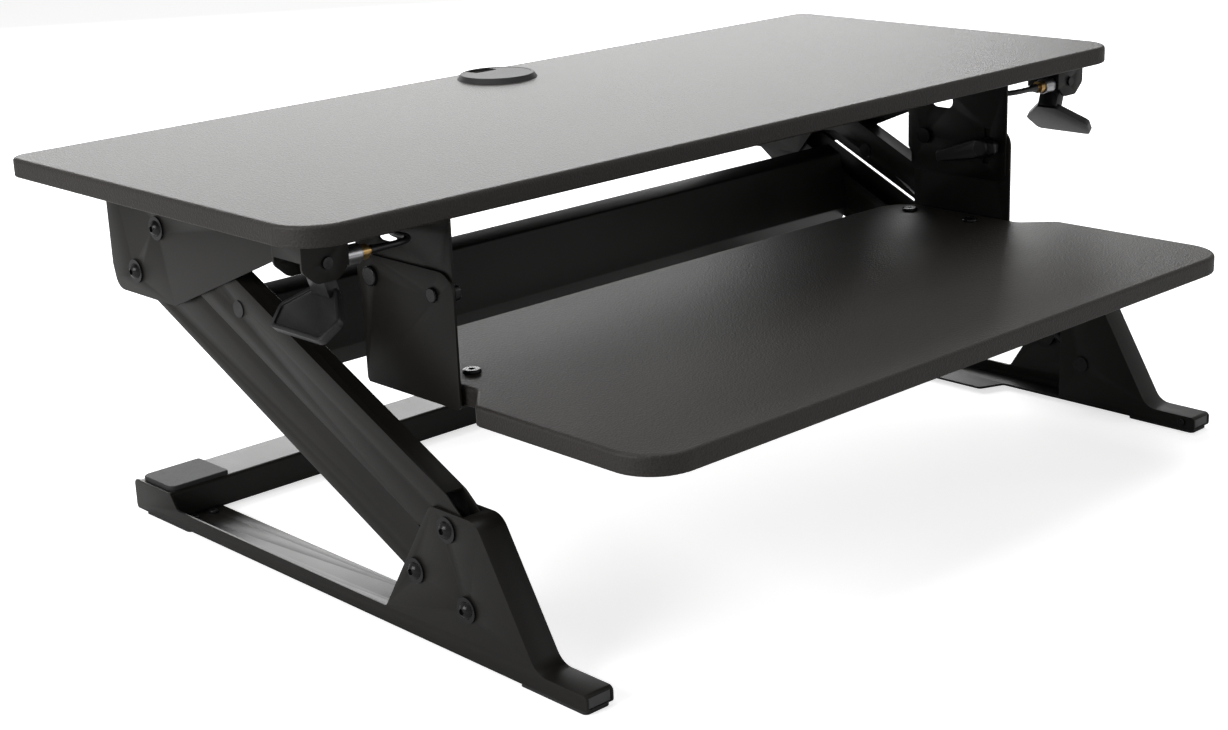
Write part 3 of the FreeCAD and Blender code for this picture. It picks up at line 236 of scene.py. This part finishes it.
SHEET_ROUND = 0.0006
PLASTIC_ROUND = 0.0008
for side in ("left", "right"):
    for part in ("base_side", "top_bracket", "upper_arm", "lower_arm", "tray_bracket", "tray_hanger",
                 "release_housing"):
        softened(part + "_" + side, SHEET_ROUND)
    for part in ("release_lever", "clamp_lever", "toe_plug"):
        softened(part + "_" + side, PLASTIC_ROUND)
softened("cross_member", SHEET_ROUND)


# ---------------------------------------------------------------- floor, light and camera
def stage_floor():
    mesh = bpy.data.meshes.new("floor")
    size = 6.0
    mesh.from_pydata([(-size, -size, 0), (size, -size, 0), (size, size, 0), (-size, size, 0)], [], [(0, 1, 2, 3)])
    floor = bpy.data.objects.new("floor", mesh)
    bpy.context.scene.collection.objects.link(floor)
    material, tree, shader = new_material("floor_paper", 0.9, 0.1)
    grain = noise(tree, 40.0, 3.0)
    tree.links.new(ramp(tree, grain, [(0.3, (0.86, 0.86, 0.86)), (0.7, (0.88, 0.88, 0.88))]),
                   shader.inputs["Base Color"])
    # seen directly the paper is white wherever the object's shadow leaves it
    shader.inputs["Emission Color"].default_value = (1, 1, 1, 1)
    path = tree.nodes.new("ShaderNodeLightPath")
    tree.links.new(remap(tree, path.outputs["Is Camera Ray"], 0.0, 0.7), shader.inputs["Emission Strength"])
    mesh.materials.append(material)


def area_light(name, location, target, size, power):
    light = bpy.data.lights.new(name, "AREA")
    light.shape = "RECTANGLE"
    light.size, light.size_y = size
    light.energy = power
    obj = bpy.data.objects.new(name, light)
    bpy.context.scene.collection.objects.link(obj)
    obj.location = location
    direction = Vector(target) - Vector(location)
    obj.rotation_euler = direction.to_track_quat("-Z", "Y").to_euler()


def world_light():
    """White where the camera or a gloss ray looks, and a plain fill for everything else."""
    world = bpy.data.worlds.new("studio")
    world.use_nodes = True
    bpy.context.scene.world = world
    tree = world.node_tree
    background = tree.nodes["Background"]
    background.inputs["Color"].default_value = (1, 1, 1, 1)
    path = tree.nodes.new("ShaderNodeLightPath")
    direct = tree.nodes.new("ShaderNodeMath")
    direct.operation = "MAXIMUM"
    tree.links.new(path.outputs["Is Camera Ray"], direct.inputs[0])
    tree.links.new(path.outputs["Is Transmission Ray"], direct.inputs[1])
    glossy = tree.nodes.new("ShaderNodeMath")
    glossy.operation = "MULTIPLY"
    glossy.inputs[1].default_value = 0.4
    tree.links.new(path.outputs["Is Glossy Ray"], glossy.inputs[0])
    either = tree.nodes.new("ShaderNodeMath")
    either.operation = "MAXIMUM"
    tree.links.new(direct.outputs[0], either.inputs[0])
    tree.links.new(glossy.outputs[0], either.inputs[1])
    tree.links.new(remap(tree, either.outputs[0], 0.2, 1.0), background.inputs["Strength"])


CAMERA_PLACE = (-1.17273, -1.16356, 0.61747)
CAMERA_RIGHT = (0.72587, -0.68684, -0.03709)
CAMERA_DOWN = (-0.23179, -0.19349, -0.95333)
CAMERA_FORWARD = (0.64760, 0.70058, -0.29965)
FOCAL_PIXELS = 2051.86
IMAGE_PIXELS = 1228.0


def camera():
    data = bpy.data.cameras.new("camera")
    data.sensor_width = 36.0
    data.lens = FOCAL_PIXELS / IMAGE_PIXELS * data.sensor_width
    data.clip_start = 0.05
    data.clip_end = 30.0
    obj = bpy.data.objects.new("camera", data)
    bpy.context.scene.collection.objects.link(obj)
    columns = Matrix((CAMERA_RIGHT, [-c for c in CAMERA_DOWN], [-c for c in CAMERA_FORWARD])).transposed()
    obj.matrix_world = Matrix.Translation(CAMERA_PLACE) @ columns.to_4x4()
    bpy.context.scene.camera = obj


stage_floor()
world_light()
area_light("key_left", (-2.4, 0.2, 1.1), (0, 0, 0.2), (1.4, 1.0), 34.0)
area_light("top", (0.0, 0.3, 2.4), (0, 0, 0.2), (2.4, 1.6), 26.0)
area_light("back_top", (1.6, 2.4, 1.2), (0, 0, 0.3), (3.0, 1.2), 85.0)
area_light("front_right", (1.6, -2.4, 0.9), (0, 0, 0.25), (0.8, 0.8), 4.0)
camera()
bpy.context.scene.view_settings.view_transform = "Standard"
